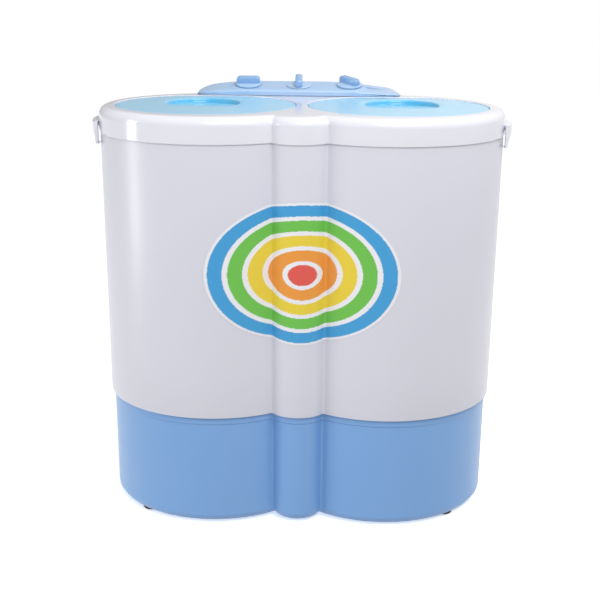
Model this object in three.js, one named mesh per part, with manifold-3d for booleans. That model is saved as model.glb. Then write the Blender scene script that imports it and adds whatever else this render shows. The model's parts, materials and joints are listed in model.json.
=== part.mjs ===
// Compact twin tub washer: a wash tub and a spin tub side by side under one rim.
// Millimetres, +Z up, front towards -Y. The origin is on the floor under the middle of the machine.
import * as THREE from "three";
import { mergeVertices } from "three/addons/utils/BufferGeometryUtils.js";
import Module from "manifold-3d";

const wasm = await Module();
wasm.setup();

// ---------- driving dimensions ----------
const LOBE_X = 114; // the two round lobes of the body, left and right of the middle
const LOBE_R = 148; // lobe radius at the rim; the flat back lies at this depth too
const COLUMN_R = 39.25; // rounded column between the lobes, at the front
const COLUMN_Y = -102.75;
const DRAFT = 0.008 / (LOBE_X + LOBE_R); // moulding draft: share of width lost per mm of depth
const SEAM_Z = 149; // blue base below, white casing above
const RIM_Z = 498; // lower edge of the top frame
const TOP_Z = 531; // upper face of the top frame
const BASE_Z = 4; // underside of the base; the feet carry it
const WALL = 3; // general moulded wall
const GAP = 0.3; // air between touching pieces

const WELL_X = 125; // axes of the wash tub (left) and spin tub (right)
const WELL_R = 113; // inner radius of both wells at their tops
const WASH_FLOOR_Z = 168;
const SPIN_FLOOR_Z = 150;
const FLANGE_Z = TOP_Z - 12; // upper face of the tub moulding's flange

const LID_R = 117;
const LID_Z = TOP_Z - 3.5; // underside of the lid plates
const LID_T = 2.8;
const HINGE_Y = 103.5;
const HINGE_Z = TOP_Z - 3.5;
const PIN_R = 1.5;
const MOUTH_R = 110.5; // opening of the top frame under each lid
const MOUTH_BACK_Y = HINGE_Y - 7.5; // its straight back edge
const POCKET_BACK_Y = HINGE_Y + 3.9; // back wall of the hinge pocket
const POCKET_HALF_X = 56;

const PANEL_X = -7; // the control panel sits a little left of the middle
const PANEL_Y = 129.5; // middle of the control panel and of its knobs
const PANEL_HALF_X = 143;
const PANEL_R = 21.5;
const PANEL_TILT = THREE.MathUtils.degToRad(12);
const PANEL_TOP_Z = 544; // panel face at PANEL_Y
const KNOB_GAP = 71; // from the selector to each timer knob
const KNOB_XS = [PANEL_X - KNOB_GAP, PANEL_X, PANEL_X + KNOB_GAP];

const WASH_MOTOR = new THREE.Vector2(-30, 25);
const DRIVE_GROOVE_R = 50; // belt ratio 4 to 1
const MOTOR_GROOVE_R = 12.5;
const BELT_Z = [103.5, 110.5];
const VALVE_Y = 96;

const ROUND = 16; // sides of a small turned piece
const WIDE = 24; // sides of a well, lid or basket
const FAR = 400; // half-size of a cutting box that reaches past the whole machine

// ---------- materials ----------
const finish = (color, roughness, metalness = 0) =>
  new THREE.MeshStandardMaterial({ color, roughness, metalness });
const white = finish(0xe4e4ee, 0.35);
const frameWhite = finish(0xf2f1f5, 0.25);
const baseBlue = finish(0x7ba7da, 0.45);
const lidBlue = finish(0xa9daf4, 0.3);
const panelBlue = finish(0xbcd5f0, 0.35);
const knobBlue = finish(0x9bbfe8, 0.35);
const tubWhite = finish(0xeef0f2, 0.3);
const black = finish(0x202226, 0.8);
const steel = finish(0xb4b8bc, 0.35, 1);
const motorGrey = finish(0x8b9096, 0.45, 0.8);
const greyPlastic = finish(0x5c6066, 0.5);

// ---------- solids from three.js geometry ----------
function solid(geometry) {
  const g = geometry.index ? geometry.toNonIndexed() : geometry.clone();
  g.deleteAttribute("normal");
  g.deleteAttribute("uv");
  const merged = mergeVertices(g, 1e-3);
  const triVerts = new Uint32Array(merged.index.array);
  const build = () =>
    new wasm.Manifold(
      new wasm.Mesh({ numProp: 3, vertProperties: merged.attributes.position.array, triVerts }),
    );
  const made = build();
  if (made.volume() > 0) return made;
  for (let i = 0; i < triVerts.length; i += 3)
    [triVerts[i + 1], triVerts[i + 2]] = [triVerts[i + 2], triVerts[i + 1]];
  return build();
}

function geometryOf(manifold) {
  const m = manifold.getMesh();
  const positions = new Float32Array(m.numVert * 3);
  for (let i = 0; i < m.numVert; i++)
    positions.set(m.vertProperties.subarray(i * m.numProp, i * m.numProp + 3), i * 3);
  const g = new THREE.BufferGeometry();
  g.setAttribute("position", new THREE.BufferAttribute(positions, 3));
  g.setIndex(new THREE.BufferAttribute(new Uint32Array(m.triVerts), 1));
  g.computeVertexNormals();
  return g;
}

const join = (first, ...rest) => rest.reduce((a, b) => a.add(b), first);
const cut = (first, ...rest) => rest.reduce((a, b) => a.subtract(b), first);

function box(x0, x1, y0, y1, z0, z1) {
  const g = new THREE.BoxGeometry(x1 - x0, y1 - y0, z1 - z0);
  return solid(g.translate((x0 + x1) / 2, (y0 + y1) / 2, (z0 + z1) / 2));
}

function post(x, y, r, z0, z1, sides = ROUND) {
  const g = new THREE.CylinderGeometry(r, r, z1 - z0, sides);
  return solid(g.rotateX(Math.PI / 2).translate(x, y, (z0 + z1) / 2));
}

// A cylinder between two points.
function rod(from, to, r, sides = 16) {
  const a = new THREE.Vector3(...from);
  const b = new THREE.Vector3(...to);
  const g = new THREE.CylinderGeometry(r, r, a.distanceTo(b), sides);
  const turn = new THREE.Quaternion().setFromUnitVectors(
    new THREE.Vector3(0, 1, 0),
    b.clone().sub(a).normalize(),
  );
  return solid(g.applyQuaternion(turn).translate(...a.add(b).multiplyScalar(0.5).toArray()));
}

// A turned piece about the vertical line through (x, y). Profile points are [radius, z].
function turned(x, y, profile, sides = ROUND) {
  const onAxis = profile[0][0] === 0;
  const points = (onAxis ? profile : [...profile, profile[0]]).map((p) => new THREE.Vector2(...p));
  return solid(new THREE.LatheGeometry(points, sides).rotateX(Math.PI / 2).translate(x, y, 0));
}

function prism(shape, z0, z1, curveSegments = 11) {
  const g = new THREE.ExtrudeGeometry(shape, { depth: z1 - z0, bevelEnabled: false, curveSegments });
  return g.translate(0, 0, z0);
}

// A vertical post whose back is cut off straight at backY.
function flatBacked(x, r, backY, z0, z1) {
  return cut(post(x, 0, r, z0, z1, WIDE), box(-FAR, FAR, backY, FAR, z0 - 1, z1 + 1));
}

// A tube along points, with a round section.
function tube(points, r, steps, sides = 8) {
  const path = new THREE.CatmullRomCurve3(points.map((p) => new THREE.Vector3(...p)));
  const section = new THREE.Shape(
    Array.from({ length: sides }, (_, i) => {
      const a = (i / sides) * Math.PI * 2;
      return new THREE.Vector2(Math.cos(a) * r, Math.sin(a) * r);
    }),
  );
  return solid(new THREE.ExtrudeGeometry(section, { steps, extrudePath: path }));
}

// ---------- the body's plan outline ----------
// Two lobes, a front column and a flat back, moved inwards by the given inset.
function bodyOutline(inset) {
  const lobeR = LOBE_R - inset;
  const columnR = COLUMN_R - inset;
  const apart = Math.hypot(LOBE_X, COLUMN_Y);
  const along = (lobeR ** 2 - columnR ** 2 + apart ** 2) / (2 * apart);
  const aside = Math.sqrt(lobeR ** 2 - along ** 2);
  const toColumn = Math.atan2(COLUMN_Y, LOBE_X);
  const lobeEnd = toColumn + 2 * Math.PI - Math.atan2(aside, along);
  const meetX = -LOBE_X + lobeR * Math.cos(lobeEnd);
  const meetY = lobeR * Math.sin(lobeEnd);
  const columnStart = Math.atan2(meetY - COLUMN_Y, meetX) + 2 * Math.PI;
  const columnEnd = 3 * Math.PI - columnStart;
  const shape = new THREE.Shape();
  shape.absarc(-LOBE_X, 0, lobeR, Math.PI / 2, lobeEnd, false);
  shape.absarc(0, COLUMN_Y, columnR, columnStart, columnEnd + 2 * Math.PI, false);
  shape.absarc(LOBE_X, 0, lobeR, 3 * Math.PI - lobeEnd, 2.5 * Math.PI, false);
  shape.closePath();
  return shape;
}

// Narrows a geometry towards the floor, as the moulding's draft does.
function drafted(geometry) {
  const p = geometry.attributes.position;
  for (let i = 0; i < p.count; i++) {
    const s = 1 - DRAFT * Math.max(0, RIM_Z - p.getZ(i));
    p.setXY(i, p.getX(i) * s, p.getY(i) * s);
  }
  return geometry;
}

const slab = (inset, z0, z1) => solid(drafted(prism(bodyOutline(inset), z0, z1)));

// ---------- the washer's scene graph ----------
const washer = new THREE.Group();

function add(name, manifold, material, parent = washer) {
  const mesh = new THREE.Mesh(geometryOf(manifold), material);
  mesh.name = name;
  parent.add(mesh);
  return mesh;
}

// ---------- housing ----------
const FOOT_X = 196;
const FOOT_Y = 92;
const BASE_INSET = 4.5;
const SPIGOT = { x: 190, z: 40, r: 9 };
const GLAND = { x: -190, z: 40, r: 6.5 };
const FOOT_PEG_R = 4;

function baseHousing() {
  const chamfer = 6;
  const lower = slab(BASE_INSET + chamfer, BASE_Z, BASE_Z + chamfer + 1);
  const shell = join(slab(BASE_INSET, BASE_Z + chamfer, SEAM_Z), lower);
  const bead = slab(BASE_INSET - 1.2, SEAM_Z - 9, SEAM_Z);
  const room = slab(BASE_INSET + WALL, BASE_Z + chamfer + WALL, SEAM_Z + 1);
  const lowerRoom = slab(BASE_INSET + chamfer + WALL, BASE_Z + WALL, SEAM_Z);
  const pegs = [-1, 1].flatMap((sx) =>
    [-1, 1].map((sy) => post(sx * FOOT_X, sy * FOOT_Y, FOOT_PEG_R + 0.4, 0, 20, 16)),
  );
  return cut(
    join(shell, bead),
    room,
    lowerRoom,
    ...pegs,
    rod([SPIGOT.x, 90, SPIGOT.z], [SPIGOT.x, 150, SPIGOT.z], SPIGOT.r + GAP),
    rod([GLAND.x, 90, GLAND.z], [GLAND.x, 150, GLAND.z], GLAND.r + GAP),
  );
}

function outerCasing() {
  const foot = SEAM_Z + GAP;
  const outside = slab(0, foot, TOP_Z - 3.8);
  const tongue = slab(8.5, SEAM_Z - 12, foot + 1);
  const room = slab(WALL, foot + WALL, TOP_Z + 5);
  const hole = slab(11, SEAM_Z - 20, foot + WALL + 4);
  return cut(join(outside, tongue), room, hole);
}

function topFrame() {
  const edge = 8; // rounding of the outer top edge
  const skirtOut = -3;
  const block = new THREE.ExtrudeGeometry(bodyOutline(skirtOut), {
    depth: TOP_Z - RIM_Z,
    bevelThickness: edge,
    bevelSize: edge,
    bevelOffset: -edge,
    bevelSegments: 2,
    curveSegments: 11,
  }).translate(0, 0, RIM_Z - edge);
  const body = cut(solid(block), box(-FAR, FAR, -FAR, FAR, RIM_Z - 100, RIM_Z));
  const hollow = solid(prism(bodyOutline(-GAP), RIM_Z - 1, TOP_Z - 3.5));
  const seats = [-1, 1].map((side) => {
    const x = side * WELL_X;
    return join(
      post(x, 0, 121.5, TOP_Z - 9, TOP_Z - 1, WIDE),
      post(x, 0, WELL_R - 0.6, TOP_Z - 22, TOP_Z - 1, WIDE),
    );
  });
  const seated = join(cut(body, hollow), ...seats);
  const openings = [-1, 1].flatMap((side) => {
    const x = side * WELL_X;
    return [
      flatBacked(x, MOUTH_R, MOUTH_BACK_Y, RIM_Z - 10, TOP_Z + 10),
      flatBacked(x, LID_R + 1, POCKET_BACK_Y, LID_Z - GAP, TOP_Z + 10),
      box(x - POCKET_HALF_X, x + POCKET_HALF_X, HINGE_Y - 8, POCKET_BACK_Y, HINGE_Z - 4, TOP_Z + 10),
      rod([x - 62.5, HINGE_Y, HINGE_Z], [x + 62.5, HINGE_Y, HINGE_Z], PIN_R + 0.2, 12),
    ];
  });
  const timerHoles = KNOB_XS.map((x) => box(x - 15.5, x + 15.5, 110, 144.5, TOP_Z - 60, TOP_Z + 10));
  return cut(seated, ...openings, ...timerHoles);
}

function twinTub() {
  const wash = turned(-WELL_X, 0, [
    [9, WASH_FLOOR_Z - WALL],
    [102, WASH_FLOOR_Z - WALL],
    [112, WASH_FLOOR_Z + 7],
    [WELL_R + WALL, FLANGE_Z],
    [WELL_R, FLANGE_Z],
    [109, WASH_FLOOR_Z + 9],
    [100.5, WASH_FLOOR_Z],
    [9, WASH_FLOOR_Z],
  ], WIDE);
  const spin = turned(WELL_X, 0, [
    [14, SPIN_FLOOR_Z - WALL],
    [100, SPIN_FLOOR_Z - WALL],
    [110, SPIN_FLOOR_Z + 7],
    [WELL_R + WALL, FLANGE_Z],
    [WELL_R, FLANGE_Z],
    [107, SPIN_FLOOR_Z + 9],
    [98.5, SPIN_FLOOR_Z],
    [14, SPIN_FLOOR_Z],
  ], WIDE);
  const flange = cut(
    solid(prism(bodyOutline(4), FLANGE_Z - WALL, FLANGE_Z)),
    post(-WELL_X, 0, WELL_R + 1, 0, TOP_Z, WIDE),
    post(WELL_X, 0, WELL_R + 1, 0, TOP_Z, WIDE),
    box(-FAR, FAR, 107, FAR, 0, TOP_Z),
  );
  const web = cut(
    box(-WELL_X + 80, WELL_X - 80, -2, 2, 200, FLANGE_Z - 1),
    post(-WELL_X, 0, WELL_R + 0.5, 0, TOP_Z, WIDE),
    post(WELL_X, 0, WELL_R + 0.5, 0, TOP_Z, WIDE),
  );
  return join(wash, spin, flange, web);
}

function rearCover() {
  const plate = box(-88, 88, LOBE_R + GAP, LOBE_R + 2.6, 162, 482);
  const vents = Array.from({ length: 7 }, (_, i) => {
    const z = 200 + i * 12;
    return box(-50, 50, LOBE_R - 5, LOBE_R + 10, z, z + 4);
  });
  return cut(plate, ...vents);
}

const GRIP = { x: LOBE_X + LOBE_R + 0.5, reach: 10.5, halfY: 48, top: 513, wall: 2.4 };

// The grip's section: a blunt lip at the top and a web that slants back to the frame below it.
function gripSection(inset) {
  const tip = GRIP.reach - inset;
  const shape = new THREE.Shape();
  shape.moveTo(-4, -38);
  shape.lineTo(0, -36 + inset);
  shape.lineTo(tip, -15);
  shape.lineTo(tip, -3 - inset);
  shape.quadraticCurveTo(tip, -inset, tip - 3, -inset);
  shape.lineTo(-4, -inset);
  shape.closePath();
  return shape;
}

// A bowed lip for the fingers, hollow behind and open below, seated against the frame's skirt.
function carryGrip(side) {
  const bowR = (GRIP.halfY ** 2 + GRIP.reach ** 2) / (2 * GRIP.reach);
  const bowX = GRIP.x + GRIP.reach - bowR;
  const bar = (inset) => {
    const length = 2 * (GRIP.halfY - 2 * inset);
    const settings = { depth: length, bevelEnabled: false, curveSegments: 3 };
    const g = new THREE.ExtrudeGeometry(gripSection(inset), settings)
      .rotateX(Math.PI / 2)
      .translate(GRIP.x, length / 2, GRIP.top);
    return solid(g).intersect(post(bowX, 0, bowR - inset, GRIP.top - 60, GRIP.top + 10, 64));
  };
  const fingers = box(GRIP.x - 10, GRIP.x + 20, -30, 30, GRIP.top - 60, GRIP.top - 14);
  const grip = cut(bar(0), bar(GRIP.wall), fingers, solid(prism(bodyOutline(-3 - GAP), FAR, FAR + 200)));
  return side > 0 ? grip : grip.mirror([1, 0, 0]);
}

function foot() {
  return turned(0, 0, [[0, 0], [10, 0], [11.5, 1], [11.5, BASE_Z - GAP], [FOOT_PEG_R, BASE_Z - GAP],
    [FOOT_PEG_R, BASE_Z + 6], [0, BASE_Z + 6]], 12);
}

add("base_housing", baseHousing(), baseBlue);
add("outer_casing", outerCasing(), white);
add("top_frame", topFrame(), frameWhite);
add("twin_tub", twinTub(), tubWhite);
add("rear_cover", rearCover(), white);
add("carry_grip_left", carryGrip(-1), frameWhite);
add("carry_grip_right", carryGrip(1), frameWhite);
for (const [sy, row] of [[-1, "front"], [1, "rear"]])
  for (const [sx, end] of [[-1, "left"], [1, "right"]])
    add(`foot_${row}_${end}`, foot(), black).position.set(sx * FOOT_X, sy * FOOT_Y, 0);

// ---------- lids ----------
const SCOOP = { x: 131, y: 24, rx: 48, ry: 54, depth: 7 };
const CORNER_CUT = 6.5; // the plate's back corners are cut off this far in front of the hinge

function lid(side) {
  const x = side * WELL_X;
  const scoopX = side * SCOOP.x;
  const plate = cut(
    join(
      turned(x, 0, [[0, LID_Z], [LID_R - 1, LID_Z], [LID_R, LID_Z + 1], [LID_R - 0.8, LID_Z + LID_T],
        [0, LID_Z + LID_T]], WIDE),
      turned(x, 0, [[106, LID_Z - 6], [108.5, LID_Z - 6], [108.5, LID_Z + 1], [106, LID_Z + 1]], WIDE),
    ),
    box(x - 200, x + 200, HINGE_Y + 1.6, 200, 0, 600),
    box(x - 200, x + 200, 90, 200, 0, LID_Z),
    box(x - 200, x - POCKET_HALF_X + 0.8, HINGE_Y - CORNER_CUT, 200, 0, 600),
    box(x + POCKET_HALF_X - 0.8, x + 200, HINGE_Y - CORNER_CUT, 200, 0, 600),
  );
  const barrel = rod([x - 52, HINGE_Y, HINGE_Z], [x + 52, HINGE_Y, HINGE_Z], 3, 20);
  const bore = rod([x - 60, HINGE_Y, HINGE_Z], [x + 60, HINGE_Y, HINGE_Z], PIN_R + 0.3, 12);
  const dish = (grow, floor) => {
    const outline = new THREE.Shape();
    outline.absellipse(scoopX, SCOOP.y, SCOOP.rx + grow, SCOOP.ry + grow, 0, Math.PI, false, 0);
    outline.lineTo(scoopX - SCOOP.rx - grow, SCOOP.y - 50);
    outline.lineTo(scoopX + SCOOP.rx + grow, SCOOP.y - 50);
    outline.closePath();
    return solid(
      prism(outline, 0, 60, 12)
        .translate(-scoopX, -(SCOOP.y + SCOOP.ry), 0)
        .rotateX(-Math.atan2(SCOOP.depth, SCOOP.ry + 46))
        .translate(scoopX, SCOOP.y + SCOOP.ry, LID_Z + LID_T - floor),
    );
  };
  const pan = cut(dish(2.4, SCOOP.depth + 2.2), box(-FAR, FAR, -FAR, FAR, LID_Z + LID_T, TOP_Z + 100));
  return cut(join(plate, barrel, pan), bore, dish(0, SCOOP.depth));
}

const hingePin = (side) =>
  rod([side * WELL_X - 62, HINGE_Y, HINGE_Z], [side * WELL_X + 62, HINGE_Y, HINGE_Z], PIN_R, 12);

add("wash_lid", lid(-1), lidBlue);
add("spin_lid", lid(1), lidBlue);
add("wash_lid_pin", hingePin(-1), steel);
add("spin_lid_pin", hingePin(1), steel);

// ---------- control panel ----------
// The panel face tilts towards the user; knobs and timers stand square to it in this group.
const controls = new THREE.Group();
controls.position.set(PANEL_X, PANEL_Y, PANEL_TOP_Z);
controls.rotation.x = PANEL_TILT;
washer.add(controls);

function panelOutline(inset) {
  const r = PANEL_R - inset;
  const run = PANEL_HALF_X - PANEL_R;
  const shape = new THREE.Shape();
  shape.absarc(PANEL_X - run, PANEL_Y, r, Math.PI / 2, Math.PI * 1.5, false);
  shape.absarc(PANEL_X + run, PANEL_Y, r, -Math.PI / 2, Math.PI / 2, false);
  shape.closePath();
  return shape;
}

function controlPanel() {
  const aboveFace = (drop) =>
    solid(
      new THREE.BoxGeometry(400, 400, 100)
        .translate(0, 0, 50 - drop)
        .rotateX(PANEL_TILT)
        .translate(0, PANEL_Y, PANEL_TOP_Z),
    );
  const body = cut(solid(prism(panelOutline(0), TOP_Z + GAP, TOP_Z + 40, 8)), aboveFace(0));
  const room = cut(solid(prism(panelOutline(2.4), TOP_Z - 5, TOP_Z + 40, 8)), aboveFace(2.4));
  const holes = KNOB_XS.map((x) => {
    const hole = new THREE.CylinderGeometry(4.2, 4.2, 40, 12).rotateX(Math.PI / 2 + PANEL_TILT);
    return solid(hole.translate(x, PANEL_Y, PANEL_TOP_Z));
  });
  return cut(body, room, ...holes);
}

const KNOB_TOP = 13;

// Disc with a raised grip bar, in the tilted frame with its face at z = 0.
function knob() {
  const disc = turned(0, 0, [[0, 0.5], [17.5, 0.5], [17.5, 3], [16.5, 4], [0, 4]]);
  const grip = new THREE.Shape();
  grip.moveTo(-16.5, 2);
  grip.lineTo(16.5, 2);
  grip.lineTo(16.5, 8.5);
  grip.quadraticCurveTo(16, KNOB_TOP, 10, KNOB_TOP);
  grip.lineTo(-10, KNOB_TOP);
  grip.quadraticCurveTo(-16, KNOB_TOP, -16.5, 8.5);
  grip.closePath();
  const bar = new THREE.ExtrudeGeometry(grip, { depth: 10, bevelEnabled: false, curveSegments: 4 })
    .translate(0, 0, -5)
    .rotateX(Math.PI / 2);
  return cut(join(disc, solid(bar)), post(0, 0, 3.3, -1, 10, 16));
}

const SPINDLE_R = 3;
const timerCase = () =>
  cut(
    join(box(-13.5, 13.5, -16, 6.5, -34, -12), box(-9, 9, -9, 5, -12.5, -9)),
    post(0, 0, SPINDLE_R + 0.4, -36, 0, 12),
  );
const spindle = () => post(0, 0, SPINDLE_R, -32, 9.6, 12);

for (const [x, name, turn] of [[-KNOB_GAP, "wash_timer", 0], [KNOB_GAP, "spin_timer", -45]]) {
  add(name, timerCase(), greyPlastic, controls).position.x = x;
  add(`${name}_spindle`, spindle(), steel, controls).position.x = x;
  const turnedKnob = add(`${name}_knob`, knob(), knobBlue, controls);
  turnedKnob.position.x = x;
  turnedKnob.rotation.z = THREE.MathUtils.degToRad(turn);
}
add("selector_housing", timerCase(), greyPlastic, controls);
add("selector_knob", knob(), knobBlue, controls).rotation.z = Math.PI / 2;
const cam = join(
  post(0, 0, SPINDLE_R, -40, 9.6, 12),
  post(0, 0, 5.5, -40, -36),
  post(3.5, 0, 1.5, -43, -39, 8),
);
add("selector_cam", cam, greyPlastic, controls);
add("control_panel", controlPanel(), panelBlue);

// ---------- wash drive ----------
add("pulsator", (() => {
  const dish = turned(0, 0, [[0, 176.4], [20, 176.4], [20, 172], [78, 172], [84, 176], [78, 182],
    [34, 187], [18, 195], [0, 196]], WIDE);
  const vanes = [0, 1, 2].map((i) => {
    const vane = new THREE.Shape();
    vane.moveTo(10, 178);
    vane.lineTo(74, 178);
    vane.lineTo(74, 184);
    vane.quadraticCurveTo(50, 196, 14, 198);
    vane.closePath();
    const g = new THREE.ExtrudeGeometry(vane, { depth: 9, bevelEnabled: false, curveSegments: 6 })
      .translate(0, 0, -4.5).rotateX(Math.PI / 2).rotateZ((i * 2 * Math.PI) / 3);
    return solid(g);
  });
  return cut(join(dish, ...vanes), post(0, 0, 11, 196.5, 230));
})(), lidBlue).position.x = -WELL_X;
add("pulsator_cap", turned(-WELL_X, 0, [[0, 196.9], [9.5, 196.9], [9, 199], [5, 200.5], [0, 201]], 24),
  lidBlue);
add("pulsator_shaft", post(-WELL_X, 0, 6, 94, 176, 24), steel);
add("pulsator_bearing", turned(-WELL_X, 0, [[6.3, 122], [15, 122], [15, 158], [30, 160],
  [30, WASH_FLOOR_Z - WALL - GAP], [8.6, WASH_FLOOR_Z - WALL - GAP], [8.6, 171], [6.3, 171]]), motorGrey);

const pulley = (x, y, groove, z0, z1, bore) =>
  turned(x, y, [[bore, z0], [groove + 6, z0], [groove + 6, BELT_Z[0] - 1], [groove, BELT_Z[0] - 0.4],
    [groove, BELT_Z[1] + 0.4], [groove + 6, BELT_Z[1] + 1], [groove + 6, z1], [bore, z1]]);
const lightenedPulley = cut(
  pulley(-WELL_X, 0, DRIVE_GROOVE_R, 99, 115, 6.3),
  ...[0, 1, 2, 3, 4].map((i) => {
    const a = (i * 2 * Math.PI) / 5;
    return post(-WELL_X + 29 * Math.cos(a), 29 * Math.sin(a), 12, 90, 120, 20);
  }),
);
add("drive_pulley", lightenedPulley, motorGrey);
add("motor_pulley", pulley(WASH_MOTOR.x, WASH_MOTOR.y, MOTOR_GROOVE_R, 99, 115, 5.3), motorGrey);

function driveBelt() {
  const from = new THREE.Vector2(-WELL_X, 0);
  const apart = WASH_MOTOR.clone().sub(from);
  const lean = Math.acos((DRIVE_GROOVE_R - MOTOR_GROOVE_R) / apart.length());
  const heading = apart.angle();
  const loop = (grow, Path) => {
    const path = new Path();
    const [start, end] = [heading - lean, heading + lean];
    path.absarc(WASH_MOTOR.x, WASH_MOTOR.y, MOTOR_GROOVE_R + grow, start, end, false);
    path.absarc(from.x, from.y, DRIVE_GROOVE_R + grow, end, start + 2 * Math.PI, false);
    path.closePath();
    return path;
  };
  const shape = loop(5.5, THREE.Shape);
  shape.holes.push(loop(0.8, THREE.Path));
  return solid(prism(shape, ...BELT_Z));
}
add("drive_belt", driveBelt(), black);

add("wash_motor", turned(WASH_MOTOR.x, WASH_MOTOR.y, [[0, 24], [14, 24], [38, 26], [44, 34], [44, 72],
  [38, 80], [16, 82], [14, 88], [5.4, 88], [5.4, 70], [0, 70]]), motorGrey);
add("wash_motor_shaft", post(WASH_MOTOR.x, WASH_MOTOR.y, 5, 72, 117, 20), steel);
add("wash_motor_bracket", cut(
  join(
    box(-82, 22, 6, 44, 88.4, 91),
    box(-82, -79.5, 6, 44, BASE_Z + WALL + GAP, 91),
    box(19.5, 22, 6, 44, BASE_Z + WALL + GAP, 91),
    box(-96, -79.5, 6, 44, BASE_Z + WALL + GAP, BASE_Z + WALL + 2.8),
    box(19.5, 36, 6, 44, BASE_Z + WALL + GAP, BASE_Z + WALL + 2.8),
  ),
  post(WASH_MOTOR.x, WASH_MOTOR.y, 15, 80, 100, 24),
), steel);

// ---------- wash tub fittings ----------
add("filter_column", cut(
  box(-34, -22, -26, 26, 196, 452),
  box(-36, -24.5, -23, 23, 330, 446),
), tubWhite);
add("lint_filter", cut(
  join(
    box(-36, -26, -22, 22, 334, 442),
    box(-44, -36.5, -16, 16, 340, 400),
    box(-37, -35, -16, 16, 340, 400),
  ),
  box(-40, -24, -18, 18, 404, 436),
), lidBlue);

// ---------- spin drive ----------
function spinBasket() {
  const shell = turned(WELL_X, 0, [[0, 177], [14, 177], [88, 180], [95, 188], [98, 430], [95.6, 430],
    [92.6, 189], [86.5, 183], [22, 183], [12, 206], [0, 206]], WIDE);
  const holes = [250, 330].flatMap((z, row) =>
    [0, 1, 2, 3].map((i) => {
      const a = ((i + row / 2) * Math.PI) / 4;
      const reach = [120 * Math.cos(a), 120 * Math.sin(a)];
      return rod([WELL_X - reach[0], -reach[1], z], [WELL_X + reach[0], reach[1], z], 4, 6);
    }),
  );
  const shaftHole = post(WELL_X, 0, 6 + GAP, 170, 196, 24);
  return cut(shell, ...holes, shaftHole);
}
add("spin_basket", spinBasket(), tubWhite);
add("balance_ring", turned(WELL_X, 0, [[84, 433], [90, 430.4], [99, 430.4], [100, 434], [98, 446],
  [88, 447]], WIDE), lidBlue);
const PRESS_R = 85.5; // a little wider than the balance ring's opening, so it stays under the ring
add("press_disc", cut(
  join(
    turned(WELL_X, 0, [[0, 404], [PRESS_R - 4, 404], [PRESS_R - 4, 400], [PRESS_R, 400], [PRESS_R, 414],
      [PRESS_R - 2.5, 414], [PRESS_R - 2.5, 406.4], [0, 406.4]], WIDE),
    box(WELL_X - 30, WELL_X + 30, -4, 4, 406, 418),
  ),
  box(WELL_X - 22, WELL_X + 22, -6, 6, 407.5, 414),
  ...[0, 1, 2, 3, 4, 5].map((i) => {
    const a = ((i + 0.5) * Math.PI) / 3;
    return post(WELL_X + 55 * Math.cos(a), 55 * Math.sin(a), 8, 390, 420, 16);
  }),
), lidBlue);
add("basket_shaft", post(WELL_X, 0, 6, 84, 195, 24), steel);
add("shaft_boot", turned(WELL_X, 0, [[6.5, 138], [10, 138], [12, 143], [27, 143],
  [27, SPIN_FLOOR_Z - WALL - GAP], [13.6, SPIN_FLOOR_Z - WALL - GAP], [13.6, 152], [9, 160],
  [6.5, 160]]), black);
const BRAKE_R = 40;
add("brake_drum", turned(WELL_X, 0, [[6.3, 106], [13, 106], [13, 112], [BRAKE_R, 112], [BRAKE_R, 126],
  [36, 126], [36, 116], [13, 116], [13, 130], [6.3, 130]]), motorGrey);
add("spin_motor", turned(WELL_X, 0, [[0, 26], [14, 26], [42, 28], [47, 36], [47, 76], [42, 84], [16, 86],
  [13.4, 93.7], [6.4, 93.7], [6.4, 78], [0, 78]]), motorGrey);
const BRAKE_PIVOT = [172, 44];
add("spin_motor_plate", cut(
  join(post(WELL_X, 0, 70, 94, 97), post(...BRAKE_PIVOT, 4, 96, 126, 20)),
  post(WELL_X, 0, 14, 80, 110),
), steel);
add("brake_lever", cut(
  join(
    box(169, 175, -10, 62, 116, 121),
    post(...BRAKE_PIVOT, 8, 114, 123),
    box(167, 169.5, -9, 9, 113, 124),
  ),
  post(...BRAKE_PIVOT, 4.3, 100, 130, 24),
), steel);

function coil(x, y, z0, z1, radius, wire, turns) {
  const steps = turns * 6;
  const points = Array.from({ length: steps + 1 }, (_, i) => {
    const a = (i / 6) * 2 * Math.PI;
    const rise = ((z1 - z0 - 2 * wire) * i) / steps;
    return [x + radius * Math.cos(a), y + radius * Math.sin(a), z0 + wire + rise];
  });
  return tube(points, wire, steps, 4);
}
for (const i of [0, 1, 2]) {
  const a = Math.PI / 2 + (i * 2 * Math.PI) / 3;
  const x = WELL_X + 56.5 * Math.cos(a);
  const y = 56.5 * Math.sin(a);
  add(`suspension_spring_${i + 1}`, coil(x, y, BASE_Z + WALL + GAP, 94 - GAP, 6.5, 1.2, 5), steel);
}

// ---------- drain, wiring and safety ----------
add("drain_valve_housing", join(
  turned(0, VALVE_Y, [[0, 118], [20, 118], [20, 160.4], [3.4, 160.4], [3.4, 157.4], [17.2, 157.4],
    [17.2, 122], [0, 122]]),
  cut(rod([0, VALVE_Y, 128], [-54, 60, 150], 7), post(0, VALVE_Y, 18.5, 100, 200),
    box(-200, 200, -200, 200, 158, 300)),
), greyPlastic);
add("valve_plunger", turned(0, VALVE_Y, [[0, 122.5], [10, 122.5], [15.5, 126], [15.5, 129], [6, 132],
  [6, 140], [0, 140]], 24), black);
add("valve_rod", join(post(0, VALVE_Y, 2, 140 + GAP, 486, 12), box(-5, 5, VALVE_Y - 3, 142, 484, 487)),
  greyPlastic);
add("valve_spring", coil(0, VALVE_Y, 132.6, 157, 9.5, 0.9, 4), steel);
add("drain_tube", tube([[0, VALVE_Y, 117], [0, VALVE_Y, 106], [20, 100, 82], [60, 98, 62], [120, 88, 44],
  [172, 78, SPIGOT.z], [SPIGOT.x, 92, SPIGOT.z], [SPIGOT.x, 105.6, SPIGOT.z]], 8, 16, 8), greyPlastic);
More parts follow.
